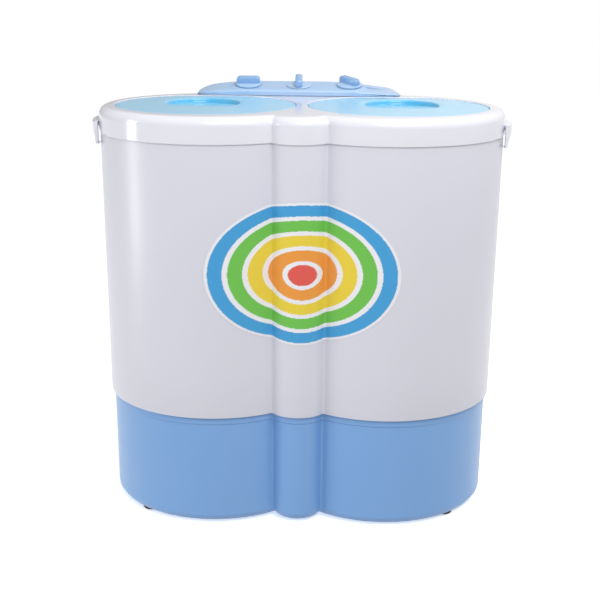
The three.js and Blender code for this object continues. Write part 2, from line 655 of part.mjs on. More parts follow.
add("drain_spigot", (() => {
  const body = rod([SPIGOT.x, 106.5, SPIGOT.z], [SPIGOT.x, 150, SPIGOT.z], SPIGOT.r, 24);
  const collar = rod([SPIGOT.x, 140, SPIGOT.z], [SPIGOT.x, 144, SPIGOT.z], SPIGOT.r + 1.4, 24);
  const bore = rod([SPIGOT.x, 100, SPIGOT.z], [SPIGOT.x, 160, SPIGOT.z], SPIGOT.r - 2, 24);
  return cut(join(body, collar), bore);
})(), greyPlastic);
add("cord_gland", (() => {
  const at = (y) => [GLAND.x, y, GLAND.z];
  const sleeve = join(rod(at(104), at(136), GLAND.r, 20), rod(at(136), at(148), GLAND.r - 1.8, 20));
  return cut(sleeve, rod(at(90), at(160), 3.4, 16));
})(), black);
add("wash_capacitor", post(-132, -78, 17, BASE_Z + WALL + GAP, 62, 24), motorGrey);
add("spin_capacitor", post(38, -84, 17, BASE_Z + WALL + GAP, 62, 24), motorGrey);
add("lid_switch", join(box(112, 140, 120, 132, 494, 512), box(118, 122, 122, 130, 488, 494.5)), greyPlastic);
add("brake_cable", tube([[150, 127, 503], [186, 116, 500], [212, 94, 470], [213.5, 92, 320], [213, 90, 180],
  [200, 82, 138], [178, 66, 122]], 1.2, 24, 6), black);

export default washer;
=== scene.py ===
import json
import math

import bmesh
import bpy
import numpy as np
from mathutils import Matrix, Vector
from mathutils.geometry import tessellate_polygon


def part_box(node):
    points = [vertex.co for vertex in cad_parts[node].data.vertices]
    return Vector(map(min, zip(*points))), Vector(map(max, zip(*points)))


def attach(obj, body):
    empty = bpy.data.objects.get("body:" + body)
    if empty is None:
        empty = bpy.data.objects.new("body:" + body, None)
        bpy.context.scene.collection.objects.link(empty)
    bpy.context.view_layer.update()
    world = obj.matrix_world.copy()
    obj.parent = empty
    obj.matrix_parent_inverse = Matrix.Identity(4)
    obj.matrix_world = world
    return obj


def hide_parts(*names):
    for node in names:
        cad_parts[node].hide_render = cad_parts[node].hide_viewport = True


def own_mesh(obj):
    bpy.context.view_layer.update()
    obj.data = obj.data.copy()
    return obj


# A compact twin tub washer. Shapes are worked out in millimetres in the row frame and turned to
# metres when a mesh is made. The front is towards -Y.
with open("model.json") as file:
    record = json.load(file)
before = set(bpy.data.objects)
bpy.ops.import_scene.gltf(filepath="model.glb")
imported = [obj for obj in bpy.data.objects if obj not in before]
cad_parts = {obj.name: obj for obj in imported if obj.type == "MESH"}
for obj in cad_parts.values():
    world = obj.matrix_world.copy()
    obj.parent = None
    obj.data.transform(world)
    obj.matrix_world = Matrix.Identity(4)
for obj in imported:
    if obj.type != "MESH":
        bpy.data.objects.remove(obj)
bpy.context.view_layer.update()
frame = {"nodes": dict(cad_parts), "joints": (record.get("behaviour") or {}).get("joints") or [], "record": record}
MM = 0.001
HOUSING = "housing"


def low(node):
    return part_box(node)[0] / MM


def high(node):
    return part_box(node)[1] / MM


JOINTS = {j["name"]: j for j in frame["joints"]}


def pivot(joint):
    return Vector(JOINTS[joint]["pos_m"]) / MM


# ---------- driving dimensions, in millimetres ----------
LOBE_X = 114.0
LOBE_R = 148.0
COLUMN_R = 39.25
COLUMN_Y = -102.75
DRAFT = 0.008 / (LOBE_X + LOBE_R)
BASE_Z = low("base_housing").z
SEAM_Z = high("base_housing").z
RIM_Z = low("top_frame").z
TOP_Z = high("top_frame").z
BASE_INSET = 4.5
WALL = 3.0

WASH = pivot("pulsator_spin")
SPIN = pivot("basket_spin")
HINGE = pivot("wash_lid_hinge")
LID_R = (high("wash_lid").x - low("wash_lid").x) / 2
LID_Z = HINGE.z
LID_T = 2.8

KNOB_PIVOTS = {"wash": pivot("wash_timer_turn"), "selector": pivot("drain_selector_turn"),
               "spin": pivot("spin_timer_turn")}
PANEL_AXIS = Vector(JOINTS["wash_timer_turn"]["axis"])
PANEL_TILT = math.atan2(PANEL_AXIS.y, -PANEL_AXIS.z)
PANEL_Y = KNOB_PIVOTS["wash"].y
PANEL_Z = KNOB_PIVOTS["wash"].z

AROUND = 720  # points round the body outline
TURN = 128  # sides of a large turned piece
SMALL_TURN = 48


# ---------- materials ----------
def linear(code):
    """The scene-linear colour of an sRGB hex value."""
    channels = [int(code[i:i + 2], 16) / 255 for i in (0, 2, 4)]
    return [c / 12.92 if c <= 0.04045 else ((c + 0.055) / 1.055) ** 2.4 for c in channels] + [1.0]


def add_node(tree, kind, links=None, **settings):
    """A node with its settings; links maps one of its inputs to another node's output or a value."""
    made = tree.nodes.new(kind)
    for key, value in settings.items():
        setattr(made, key, value)
    for key, source in (links or {}).items():
        if isinstance(source, bpy.types.NodeSocket):
            tree.links.new(source, made.inputs[key])
        else:
            made.inputs[key].default_value = source
    return made


PLASTIC_IOR = 1.5  # moulded plastic, rubber and paint; it is the default too, which the metals keep


def surface(name, color, shade, roughness, grain_mm, bump_mm, metallic=0.0, coat=0.0, subsurface=0.0,
            patch_mm=140.0, rough_spread=0.02):
    """A moulded, cast or painted surface: a slow drift between two colours, an even fine grain in
    the relief, and a gloss that varies a little from place to place."""
    material = bpy.data.materials.new(name)
    material.use_nodes = True
    tree = material.node_tree
    tree.nodes.clear()
    place = add_node(tree, "ShaderNodeTexCoord").outputs["Object"]
    patch = add_node(tree, "ShaderNodeTexNoise",
                     {"Vector": place, "Scale": 1 / (patch_mm * MM), "Detail": 3.0})
    grain = add_node(tree, "ShaderNodeTexNoise",
                     {"Vector": place, "Scale": 1 / (grain_mm * MM), "Detail": 2.0})
    mixed = add_node(tree, "ShaderNodeMix", {0: patch.outputs["Fac"], 6: linear(color), 7: linear(shade)},
                     data_type="RGBA")
    gloss = add_node(tree, "ShaderNodeMapRange", {
        "Value": patch.outputs["Fac"], "From Min": 0.3, "From Max": 0.7,
        "To Min": roughness - rough_spread, "To Max": roughness + rough_spread})
    relief = add_node(tree, "ShaderNodeBump",
                      {"Height": grain.outputs["Fac"], "Strength": 0.5, "Distance": bump_mm * MM})
    shader = add_node(tree, "ShaderNodeBsdfPrincipled", {
        "Base Color": mixed.outputs[2], "Roughness": gloss.outputs["Result"],
        "Normal": relief.outputs["Normal"], "Metallic": metallic, "IOR": PLASTIC_IOR,
        "Coat Weight": coat, "Coat Roughness": 0.1,
        "Subsurface Weight": subsurface, "Subsurface Radius": (0.006, 0.006, 0.007),
        "Subsurface Scale": 1.0})
    add_node(tree, "ShaderNodeOutputMaterial", {"Surface": shader.outputs[0]})
    return material


def tinted(material, attribute, color):
    """Adds a stronger colour where a piece's own attribute is high: this is painted shade, used on the walls and
    floor of the lid's finger recess.
    """
    tree = material.node_tree
    shader = next(n for n in tree.nodes if n.type == "BSDF_PRINCIPLED")
    before = shader.inputs["Base Color"].links[0].from_socket
    depth = add_node(tree, "ShaderNodeAttribute", attribute_name=attribute)
    mixed = add_node(tree, "ShaderNodeMix", {0: depth.outputs["Fac"], 6: before, 7: linear(color)},
                     data_type="RGBA")
    tree.links.new(mixed.outputs[2], shader.inputs["Base Color"])
    return material


# Polypropylene, injection moulded: milky, satin, and light sinks a little way into it.
CASING = surface("polypropylene_milky_moulded", "dfdfea", "dcdce8", 0.3, 1.6, 0.012, subsurface=0.12,
                 patch_mm=180.0, rough_spread=0.015)
# ABS, moulded in a polished tool: opaque and glossy.
FRAME = surface("abs_white_polished_moulded", "eaeaf2", "e5e5f0", 0.12, 2.5, 0.004, coat=0.35,
                rough_spread=0.03)
# Polypropylene, moulded and coloured through: satin blue.
BASE = surface("polypropylene_blue_moulded", "82b0e6", "7cabe3", 0.34, 1.4, 0.014, subsurface=0.05,
               patch_mm=150.0, rough_spread=0.02)
# Clear-tinted polypropylene: pale cyan, with a deeper cyan painted on as shade on the walls and floor of the
# finger recess.
LID = tinted(surface("polypropylene_cyan_moulded", "9ed6f5", "99d2f3", 0.22, 2.2, 0.005,
                     subsurface=0.15), "thickness", "58bbe8")
# ABS, moulded: pale blue, half gloss.
PANEL = surface("abs_pale_blue_moulded", "a9c6e6", "a4c2e4", 0.26, 2.0, 0.01, coat=0.15)
KNOB = surface("abs_knob_blue_moulded", "8db3de", "87aeda", 0.22, 2.0, 0.01, coat=0.2)
KNOB_SKIRT = surface("abs_knob_pale_blue_moulded", "b4cfea", "abc9e8", 0.24, 2.0, 0.01, coat=0.2)
MARKING = surface("ink_blue_printed", "5f86be", "587fb8", 0.5, 1.0, 0.004)
# ABS tub lining, moulded in a polished tool: it stays smooth against fabric.
TUB = surface("abs_tub_lining_moulded", "e9edf1", "e2e8ee", 0.2, 2.6, 0.008, coat=0.2)
PULSATOR = surface("polypropylene_sky_moulded", "8cc0e8", "83b8e2", 0.28, 1.8, 0.01, subsurface=0.08)
# Nitrile rubber, moulded: dull and slightly grainy.
RUBBER = surface("nitrile_rubber_moulded", "26272a", "202124", 0.72, 0.9, 0.03)
INNER = surface("polypropylene_grey_moulded", "5c6066", "54585e", 0.45, 1.5, 0.02)
STEEL = surface("steel_zinc_plated", "b9bdc1", "a9adb2", 0.32, 0.8, 0.006, metallic=1.0)
CAST = surface("aluminium_die_cast", "a9adb1", "9da1a6", 0.45, 0.7, 0.03, metallic=1.0)
PAINT = surface("enamel_grey_sprayed", "7f858c", "777d84", 0.4, 1.2, 0.012, coat=0.2)


def printed_vinyl():
    """Vinyl film, screen printed and laminated: each colour comes from the piece's own attribute."""
    material = surface("vinyl_film_printed", "ffffff", "ffffff", 0.42, 1.4, 0.004)
    tree = material.node_tree
    shader = next(n for n in tree.nodes if n.type == "BSDF_PRINCIPLED")
    ink = add_node(tree, "ShaderNodeAttribute", attribute_name="ink")
    tree.links.new(ink.outputs["Color"], shader.inputs["Base Color"])
    return material


VINYL = printed_vinyl()
SLOT_MATERIALS = {
    "base_blue": BASE, "casing_white": CASING, "frame_white": FRAME, "tub_white": TUB, "lid_cyan": LID,
    "panel_blue": PANEL, "knob_blue": KNOB, "pulsator_blue": PULSATOR, "inner_plastic": INNER,
    "foot_rubber": RUBBER, "belt_rubber": RUBBER, "pin_steel": STEEL, "cast_metal": CAST,
    "motor_paint": PAINT}
for part in frame["record"]["subparts"]:
    cad = frame["nodes"][part["node"]]
    cad.data.materials.clear()
    cad.data.materials.append(SLOT_MATERIALS[part["material_slot"]])


# ---------- mesh making ----------
def smooth_mesh(mesh, angle):
    mesh.shade_smooth()
    mesh.set_sharp_from_angle(angle=math.radians(angle))


def tidy_normals(mesh):
    bm = bmesh.new()
    bm.from_mesh(mesh)
    bmesh.ops.remove_doubles(bm, verts=bm.verts, dist=2e-6)
    bmesh.ops.recalc_face_normals(bm, faces=bm.faces)
    bm.to_mesh(mesh)
    bm.free()


def raw_object(name, shells, material, place=None):
    """One mesh object from several (points, faces) shells in millimetres."""
    points, faces = [], []
    for shell_points, shell_faces in shells:
        start = len(points)
        points += [tuple(Vector(p)) for p in shell_points]
        faces += [tuple(i + start for i in f) for f in shell_faces]
    mesh = bpy.data.meshes.new(name)
    mesh.from_pydata([Vector(p) * MM for p in points], [], faces)
    if place:
        mesh.transform(place)
    tidy_normals(mesh)
    obj = bpy.data.objects.new(name, mesh)
    bpy.context.scene.collection.objects.link(obj)
    mesh.materials.append(material)
    return obj


def baked(obj):
    """Turns the object's modifiers into plain mesh."""
    graph = bpy.context.evaluated_depsgraph_get()
    mesh = bpy.data.meshes.new_from_object(obj.evaluated_get(graph))
    obj.modifiers.clear()
    obj.data = mesh
    return obj


def finished(obj, body, stands_for=(), angle=35):
    smooth_mesh(obj.data, angle)
    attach(obj, body)
    if stands_for:
        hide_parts(*stands_for)
    return obj


def softened(corners, radius, steps=4, closed=False):
    """A profile with each of its corners rounded off."""
    count = len(corners)
    made = []
    for i, corner in enumerate(corners):
        p = Vector(corner)
        if not closed and i in (0, count - 1):
            made.append(tuple(p))
            continue
        before = Vector(corners[i - 1]) - p
        after = Vector(corners[(i + 1) % count]) - p
        reach = min(radius, before.length * 0.45, after.length * 0.45)
        a = p + before.normalized() * reach
        b = p + after.normalized() * reach
        for k in range(steps + 1):
            t = k / steps
            made.append(tuple(a * (1 - t) ** 2 + p * 2 * t * (1 - t) + b * t ** 2))
    return made


def loft(rings, wrap=False, caps=True):
    """Quads between rings with equal numbers of points."""
    count = len(rings[0])
    points = [p for ring in rings for p in ring]
    faces = []
    for k in range(len(rings) if wrap else len(rings) - 1):
        a, b = k * count, ((k + 1) % len(rings)) * count
        for i in range(count):
            n = (i + 1) % count
            faces.append((a + i, a + n, b + n, b + i))
    if caps and not wrap:
        faces.append(tuple(range(count)))
        last = (len(rings) - 1) * count
        faces.append(tuple(last + i for i in range(count)))
    return points, faces


def turned(profile, x=0.0, y=0.0, sides=TURN):
    """A turned shell from [radius, z] points, closed on the axis or on itself."""
    on_axis = profile[0][0] == 0
    rings = []
    for r, z in profile:
        rings.append([(x + max(r, 1e-4) * math.cos(2 * math.pi * i / sides),
                       y + max(r, 1e-4) * math.sin(2 * math.pi * i / sides), z) for i in range(sides)])
    return loft(rings, wrap=not on_axis, caps=on_axis)


def rod(start, end, radius, edge=0.6, sides=SMALL_TURN):
    """A cylinder between two points, with rounded ends."""
    a, b = Vector(start), Vector(end)
    length = (b - a).length
    turn = Vector((0, 0, 1)).rotation_difference(b - a).to_matrix()
    profile = softened([(0, 0), (radius, 0), (radius, length), (0, length)], edge)
    points, faces = turned(profile, sides=sides)
    return [a + turn @ Vector(p) for p in points], faces


def block(x0, x1, y0, y1, z0, z1):
    corners = [(x, y, z) for z in (z0, z1) for y in (y0, y1) for x in (x0, x1)]
    faces = [(0, 1, 3, 2), (4, 5, 7, 6), (0, 1, 5, 4), (2, 3, 7, 6), (0, 2, 6, 4), (1, 3, 7, 5)]
    return corners, faces


def bevelled(obj, width, segments=3):
    made = obj.modifiers.new("edges", "BEVEL")
    made.width = width * MM
    made.segments = segments
    made.limit_method = "ANGLE"
    made.angle_limit = math.radians(30)
    return baked(obj)


def carved(obj, *cutters):
    for cutter in cutters:
        made = obj.modifiers.new("carve", "BOOLEAN")
        made.object = cutter
        made.solver = "EXACT"
    baked(obj)
    for cutter in cutters:
        bpy.data.objects.remove(cutter)
    return obj


# ---------- the body's plan outline ----------
def arc(cx, cy, r, start, end, count):
    return [(cx + r * math.cos(start + (end - start) * i / count),
             cy + r * math.sin(start + (end - start) * i / count)) for i in range(count + 1)]


def body_outline(inset):
    """Two lobes, a front column and a flat back, evenly spaced, with soft valleys at the column."""
    lobe_r, column_r = LOBE_R - inset, COLUMN_R - inset
    apart = math.hypot(LOBE_X, COLUMN_Y)
    along = (lobe_r ** 2 - column_r ** 2 + apart ** 2) / (2 * apart)
    aside = math.sqrt(lobe_r ** 2 - along ** 2)
    lobe_end = math.atan2(COLUMN_Y, LOBE_X) + 2 * math.pi - math.atan2(aside, along)
    meet_x = -LOBE_X + lobe_r * math.cos(lobe_end)
    meet_y = lobe_r * math.sin(lobe_end)
    column_start = math.atan2(meet_y - COLUMN_Y, meet_x)
    column_end = -math.pi - column_start
    while column_end < column_start:
        column_end += 2 * math.pi
    path = arc(-LOBE_X, 0, lobe_r, math.pi / 2, lobe_end, 160)
    path += arc(0, COLUMN_Y, column_r, column_start, column_end, 50)[1:]
    path += arc(LOBE_X, 0, lobe_r, 3 * math.pi - lobe_end, 2.5 * math.pi, 160)[1:]
    ring = np.array(path + [path[0]])
    steps = np.hypot(*np.diff(ring, axis=0).T)
    walked = np.concatenate([[0], np.cumsum(steps)])
    at = np.linspace(0, walked[-1], AROUND, endpoint=False)
    even = np.stack([np.interp(at, walked, ring[:, 0]), np.interp(at, walked, ring[:, 1])], axis=1)
    for _ in range(2):
        even = (np.roll(even, 1, axis=0) + 2 * even + np.roll(even, -1, axis=0)) / 4
    return even


def narrowing(z):
    return 1 - DRAFT * max(0.0, RIM_Z - z)


def body_ring(inset, z):
    scale = narrowing(z)
    return [(x * scale, y * scale, z) for x, y in body_outline(inset)]


def body_shell(profile, wrap=False):
    return loft([body_ring(inset, z) for inset, z in profile], wrap=wrap)


# ---------- housing ----------
def base_housing():
    top, inset = SEAM_Z, BASE_INSET
    outside = softened([(inset + 9, BASE_Z), (inset + 5, BASE_Z), (inset, BASE_Z + 7), (inset, top - 9.5),
                        (inset - 1.2, top - 8.5), (inset - 1.2, top), (inset + WALL, top),
                        (inset + WALL, BASE_Z + 12), (inset + 9, BASE_Z + 12)], 2.0)
    obj = raw_object("base_housing_shell", [body_shell(outside)], BASE)
    finished(obj, HOUSING, ["base_housing"], 40)


def outer_casing():
    foot = SEAM_Z + 0.3
    profile = softened([(0, foot), (0, 200), (0, 350), (0, TOP_Z - 12), (WALL, TOP_Z - 12),
                        (WALL, foot + WALL), (11, foot + WALL), (11, foot)], 1.0, closed=True)
    obj = raw_object("outer_casing_shell", [body_shell(profile, wrap=True)], CASING)
    finished(obj, HOUSING, ["outer_casing"], 40)


def clipped_ring(x, radius, back, z, pocket_z=None):
    """A circle with its back cut off straight; pocket_z lowers the ring along that cut."""
    ring = []
    for i in range(TURN):
        a = 2 * math.pi * i / TURN
        px, py = radius * math.cos(a), radius * math.sin(a)
        cut = py > back
        if cut:
            px, py = px * back / py, back
        ring.append((x + px, py, pocket_z if cut and pocket_z else z))
    return ring


OPENING_BACK = HINGE.y + 3.9
SEAT_BACK = HINGE.y - 7.5
SKIRT_OUT = 1.4  # the frame stands out this far round the casing


def top_frame():
    edge = 12.0  # rounding from the skirt to the deck
    shoulder = [(edge * (1 - math.cos(a)) - SKIRT_OUT, TOP_Z - edge * (1 - math.sin(a)))
                for a in np.linspace(0, math.pi / 2, 13)]
    skirt = [(-0.4, RIM_Z + 0.6), (0.6 - SKIRT_OUT, RIM_Z), (-SKIRT_OUT, RIM_Z + 0.8)] + shoulder
    outside = [body_ring(inset, z) for inset, z in skirt]
    deck = outside[-1]
    underside = [body_ring(-0.4, TOP_Z - 11)]
    points, faces = loft(outside, caps=False)
    under_points = [p for ring in underside for p in ring]
    start = len(points)
    points += under_points
    count = AROUND
    for i in range(count):
        n = (i + 1) % count
        faces.append((i, n, start + n, start + i))
    well_rings = {}
    for x in (WASH.x, SPIN.x):
        walls = [(LID_R + 2.0, OPENING_BACK + 1.0, TOP_Z, None),
                 (LID_R + 1.2, OPENING_BACK + 0.3, TOP_Z - 0.5, None),
                 (LID_R + 1.0, OPENING_BACK, TOP_Z - 1.4, None),
                 (LID_R + 1.0, OPENING_BACK, LID_Z - 0.3, LID_Z - 4),
                 (110.5, SEAT_BACK, LID_Z - 0.3, LID_Z - 4),
                 (110.5, SEAT_BACK, TOP_Z - 11, None)]
        well_rings[x] = [clipped_ring(x, r, back, z, pocket) for r, back, z, pocket in walls]
    for x, rings in well_rings.items():
        wall_points, wall_faces = loft(rings, caps=False)
        start = len(points)
        points += wall_points
        faces += [tuple(i + start for i in f) for f in wall_faces]
    for level, outer in ((0, deck), (-1, underside[0])):
        loops = [outer] + [rings[level] for rings in well_rings.values()]
        flat = [p for loop in loops for p in loop]
        start = len(points)
        points += flat
        faces += [tuple(i + start for i in t)
                  for t in tessellate_polygon([[Vector((p[0], p[1], 0)) for p in loop] for loop in loops])]
    obj = raw_object("top_frame_shell", [(points, faces)], FRAME)
    finished(obj, HOUSING, ["top_frame"], 32)


def twin_tub():
    flange = high("twin_tub").z
    wash = softened([(9, 165), (102, 165), (112, 175), (116, flange), (113, flange), (109, 177),
                     (100.5, 168), (9, 168)], 6.0, closed=True)
    spin = softened([(14, 147), (100, 147), (110, 157), (116, flange), (113, flange), (107, 159),
                     (98.5, 150), (14, 150)], 6.0, closed=True)
    web = block(-44, 44, -2, 2, 200, flange - 2)
    web_obj = raw_object("tub_web", [web], TUB)
    wells = raw_object("tub_wells", [turned(wash, WASH.x), turned(spin, SPIN.x)], TUB)
    finished(wells, HOUSING, ["twin_tub"])
    hollows = [raw_object("tub_hollow", [rod((x, 0, 140), (x, 0, 560), 114, sides=TURN)], TUB)
               for x in (WASH.x, SPIN.x)]
    finished(carved(web_obj, *hollows), HOUSING)


def flat_plate(name, outlines, y0, y1, edge, material):
    """A plate across Y from outlines in X and Z, the later ones being holes, with rounded edges."""
    curve = bpy.data.curves.new(name, "CURVE")
    curve.dimensions = "2D"
    curve.fill_mode = "BOTH"
    curve.extrude = ((y1 - y0) / 2 - edge) * MM
    curve.bevel_depth = edge * MM
    curve.bevel_resolution = 2
    curve.offset = -edge * MM
    for outline in outlines:
        spline = curve.splines.new("POLY")
        spline.points.add(len(outline) - 1)
        for point, (x, z) in zip(spline.points, outline):
            point.co = (x * MM, z * MM, 0, 1)
        spline.use_cyclic_u = True
    carrier = bpy.data.objects.new(name, curve)
    bpy.context.scene.collection.objects.link(carrier)
    mesh = bpy.data.meshes.new_from_object(carrier.evaluated_get(bpy.context.evaluated_depsgraph_get()))
    bpy.data.objects.remove(carrier)
    mesh.transform(Matrix.Translation((0, (y0 + y1) / 2 * MM, 0)) @ Matrix.Rotation(math.pi / 2, 4, "X"))
    tidy_normals(mesh)
    mesh.materials.clear()
    mesh.materials.append(material)
    obj = bpy.data.objects.new(name, mesh)
    bpy.context.scene.collection.objects.link(obj)
    return obj


def rounded_rectangle(x0, x1, z0, z1, radius, steps=6):
    return softened([(x0, z0), (x1, z0), (x1, z1), (x0, z1)], radius, steps, closed=True)


def rear_cover():
    lo, hi = low("rear_cover"), high("rear_cover")
    outlines = [rounded_rectangle(lo.x, hi.x, lo.z, hi.z, 9)]
    outlines += [rounded_rectangle(-50, 50, 200 + 12 * i, 204 + 12 * i, 2, 4) for i in range(7)]
    plate = flat_plate("rear_cover_plate", outlines, lo.y, hi.y - 0.4, 0.6, CASING)
    finished(plate, HOUSING, ["rear_cover"])


GRIP_HALF_Y = high("carry_grip_right").y
GRIP_TOP = high("carry_grip_right").z
GRIP_X = LOBE_X + LOBE_R + 0.5
GRIP_REACH = high("carry_grip_right").x - GRIP_X
GRIP_WALL = 2.4


def grip_ring(y, inset):
    """The grip's section at y: a blunt lip above, and a web slanting back to the frame below."""
    bow = (GRIP_HALF_Y ** 2 + GRIP_REACH ** 2) / (2 * GRIP_REACH)
    reach = GRIP_REACH - bow + math.sqrt((bow - inset) ** 2 - y * y)
    corners = [(-3.4, -30), (0, -28.5 + inset), (reach, -15 - inset), (reach, -inset), (-3.4, -inset)]
    return [(GRIP_X + x, y, GRIP_TOP + z) for x, z in softened(corners, 4.5 - inset, 5, closed=True)]


def carry_grips():
    for side, node in ((-1, "carry_grip_left"), (1, "carry_grip_right")):
        ends = GRIP_HALF_Y - 0.5
        grip = raw_object(f"{node}_moulding", [loft([grip_ring(y, 0) for y in np.linspace(-ends, ends, 33)])],
                          FRAME)
        depth = ends - 2 * GRIP_WALL
        hollow = [grip_ring(y, GRIP_WALL) for y in np.linspace(-depth, depth, 25)]
        room = raw_object("grip_room", [loft(hollow)], FRAME)
        fingers = raw_object("grip_mouth", [block(GRIP_X - 10, GRIP_X + 20, -30, 30, GRIP_TOP - 60,
                                                  GRIP_TOP - 14)], FRAME)
        carved(grip, room, bevelled(fingers, 3.0))
        if side < 0:
            grip.data.transform(Matrix.Scale(-1, 4, (1, 0, 0)))
            tidy_normals(grip.data)
        finished(bevelled(grip, 0.5, 2), HOUSING, [node])


def feet():
    for row in ("front", "rear"):
        for end in ("left", "right"):
            node = f"foot_{row}_{end}"
            centre = (low(node) + high(node)) / 2
            profile = softened([(0, 0), (10, 0), (11.5, 1.2), (11.5, BASE_Z - 0.3), (4, BASE_Z - 0.3),
                                (4, BASE_Z + 5), (0, BASE_Z + 5)], 0.6)
            obj = raw_object(f"{node}_pad", [turned(profile, centre.x, centre.y, SMALL_TURN)], RUBBER)
            finished(obj, HOUSING, [node])


def rear_outlets():
    for node, radius, bore, collar, material, slot in (
            ("drain_spigot", 9.0, 7.0, 10.4, INNER, "inner_plastic"),
            ("cord_gland", 6.5, 3.4, 6.5, RUBBER, "belt_rubber")):
        lo, hi = low(node), high(node)
        x, z = (lo.x + hi.x) / 2, (lo.z + hi.z) / 2
        tip = radius if node == "drain_spigot" else radius - 1.8
        profile = softened([(bore, lo.y), (radius, lo.y), (radius, 136), (collar, 137), (collar, 140),
                            (tip, 141), (tip, hi.y), (bore, hi.y)], 0.7, 3, closed=True)
        points, faces = turned(profile, sides=SMALL_TURN)
        lying = [(x + p[0], p[2], z + p[1]) for p in points]
        finished(raw_object(f"{node}_moulding", [(lying, faces)], material), HOUSING, [node])


# ---------- lids ----------
SCOOP_X, SCOOP_Y = 131.0, 24.0
SCOOP_RX, SCOOP_BACK, SCOOP_FRONT = 48.0, 54.0, 50.0
SCOOP_DEPTH = 7.0
LID_BACK = HINGE.y + 1.6
CORNER_X, CORNER_CUT = 55.0, 8.0  # the plate's back corners are cut off beside the hinge pocket


def scoop_radius(a):
    """Distance from the recess's middle to its edge: half an ellipse behind, squarer in front."""
    c, s = abs(math.cos(a)), math.sin(a)
    if s >= 0:
        return 1 / math.hypot(c / SCOOP_RX, s / SCOOP_BACK)
    return ((c / SCOOP_RX) ** 3.2 + (-s / SCOOP_FRONT) ** 3.2) ** (-1 / 3.2)


def lid_edge_radius(a, ox, oy, radius):
    """Distance from (ox, oy) to a circle about the lid's own middle whose back is cut straight."""
    dx, dy = math.cos(a), math.sin(a)
    b = ox * dx + oy * dy
    reach = -b + math.sqrt(b * b - (ox * ox + oy * oy - radius * radius))
    back = LID_BACK - (LID_R - radius)
    if abs(ox + reach * dx) > CORNER_X:
        back -= CORNER_CUT
    if oy + reach * dy > back:
        reach = (back - oy) / dy
    return reach


def lid_shell(side):
    x0 = side * abs(WASH.x)
    ox = side * SCOOP_X - x0
    angles = [2 * math.pi * i / 192 for i in range(192)]
    top = LID_Z + LID_T
    steps = [0.02, 0.3, 0.6, 0.8, 0.9, 0.95]
    # Each ring's last number (thickness in ring_at) is its share of painted shade: most on the recess walls, a
    # little on its floor, none on the flat top.
    upper, lower, recess_shade = [], [], []

    def ring_at(radii, drop_at, under, thickness):
        ring, below = [], []
        for a, r in zip(angles, radii):
            x, y = ox + r * math.cos(a), SCOOP_Y + r * math.sin(a)
            drop = drop_at(y)
            ring.append((x0 + x, y, top - drop))
            below.append((x0 + x, y, min(LID_Z, top - drop - 2.2) if under is None else under))
        upper.append(ring)
        lower.append(below)
        recess_shade.append(thickness)

    def floor_drop(y):
        return SCOOP_DEPTH * max(0.0, min(1.0, (y + SCOOP_FRONT - SCOOP_Y) / (SCOOP_FRONT + SCOOP_BACK - 4)))

    scoop = [scoop_radius(a) for a in angles]
    for t in steps:
        ring_at([r * t for r in scoop], floor_drop, None, 0.25)
    for offset, share, thickness in ((-1.5, 1.0, 0.6), (-0.7, 0.93, 1.0), (0.0, 0.5, 1.0), (0.7, 0.08, 0.7),
                                     (1.6, 0.0, 0.05)):
        ring_at([r + offset for r in scoop], lambda y, s=share: floor_drop(y) * s, None, thickness)
    outer = [lid_edge_radius(a, ox, SCOOP_Y, LID_R) for a in angles]
    for t in (0.2, 0.45, 0.7, 0.88):
        ring_at([s + 1.6 + (o - s - 4) * t for s, o in zip(scoop, outer)], lambda y: 0.0, None, 0.0)
    for inset, drop in ((1.4, 0.0), (0.6, 0.25), (0.15, 0.8), (0.0, 1.5)):
        ring_at([lid_edge_radius(a, ox, SCOOP_Y, LID_R - inset) for a in angles], lambda y, d=drop: d,
                None, 0.1)
    points, faces = loft(upper + lower[::-1])
    skirt_rings = []
    for i in range(150):
        a = math.radians(128 + (412 - 128) * i / 149)
        skirt_rings.append([(x0 + r * math.cos(a), r * math.sin(a), z) for r, z in softened(
            [(106, LID_Z + 0.5), (108.5, LID_Z + 0.5), (108.5, LID_Z - 6), (106, LID_Z - 6)], 0.8, 2,
            closed=True)])
    barrel = rod((x0 - 52, HINGE.y, HINGE.z), (x0 + 52, HINGE.y, HINGE.z), 2.95, 0.5)
    return (points, faces), loft(skirt_rings), barrel, recess_shade


def lids():
    for side, node in ((-1, "wash_lid"), (1, "spin_lid")):
        plate, skirt, barrel, recess_shade = lid_shell(side)
        obj = raw_object(f"{node}_moulding", [plate, skirt, barrel], LID)
        # This attribute carries painted shade: the lid's material deepens its cyan where the value is high, and
        # everything off the top face gets 0.15.
        layer = obj.data.attributes.new("thickness", "FLOAT", "POINT")
        values = {}
        count = len(plate[0]) // 2 // len(recess_shade)
        for k, value in enumerate(recess_shade):
            for p in plate[0][k * count:(k + 1) * count]:
                values[tuple(round(c, 2) for c in p)] = value
        layer.data.foreach_set("value", [
            values.get(tuple(round(c / MM, 2) for c in v.co), 0.15) for v in obj.data.vertices])
        finished(obj, node, [node], 50)


# ---------- control panel ----------
PANEL_X = KNOB_PIVOTS["selector"].x
PANEL_HALF_X = (high("control_panel").x - low("control_panel").x) / 2
PANEL_R = (high("control_panel").y - low("control_panel").y) / 2
LEFT_RUN = 88.0  # the left end curves down over this length
# The right end: a blunt rounded tip, then a slow slope. Distance from the tip, share of the height.
RIGHT_SLOPE = ((0, 0.0), (3, 0.12), (7, 0.26), (11, 0.38), (18, 0.5), (35, 0.63), (54, 0.8), (76, 0.93),
               (100, 1.0))
BOSS_R = 20.0  # flat round seat under each knob


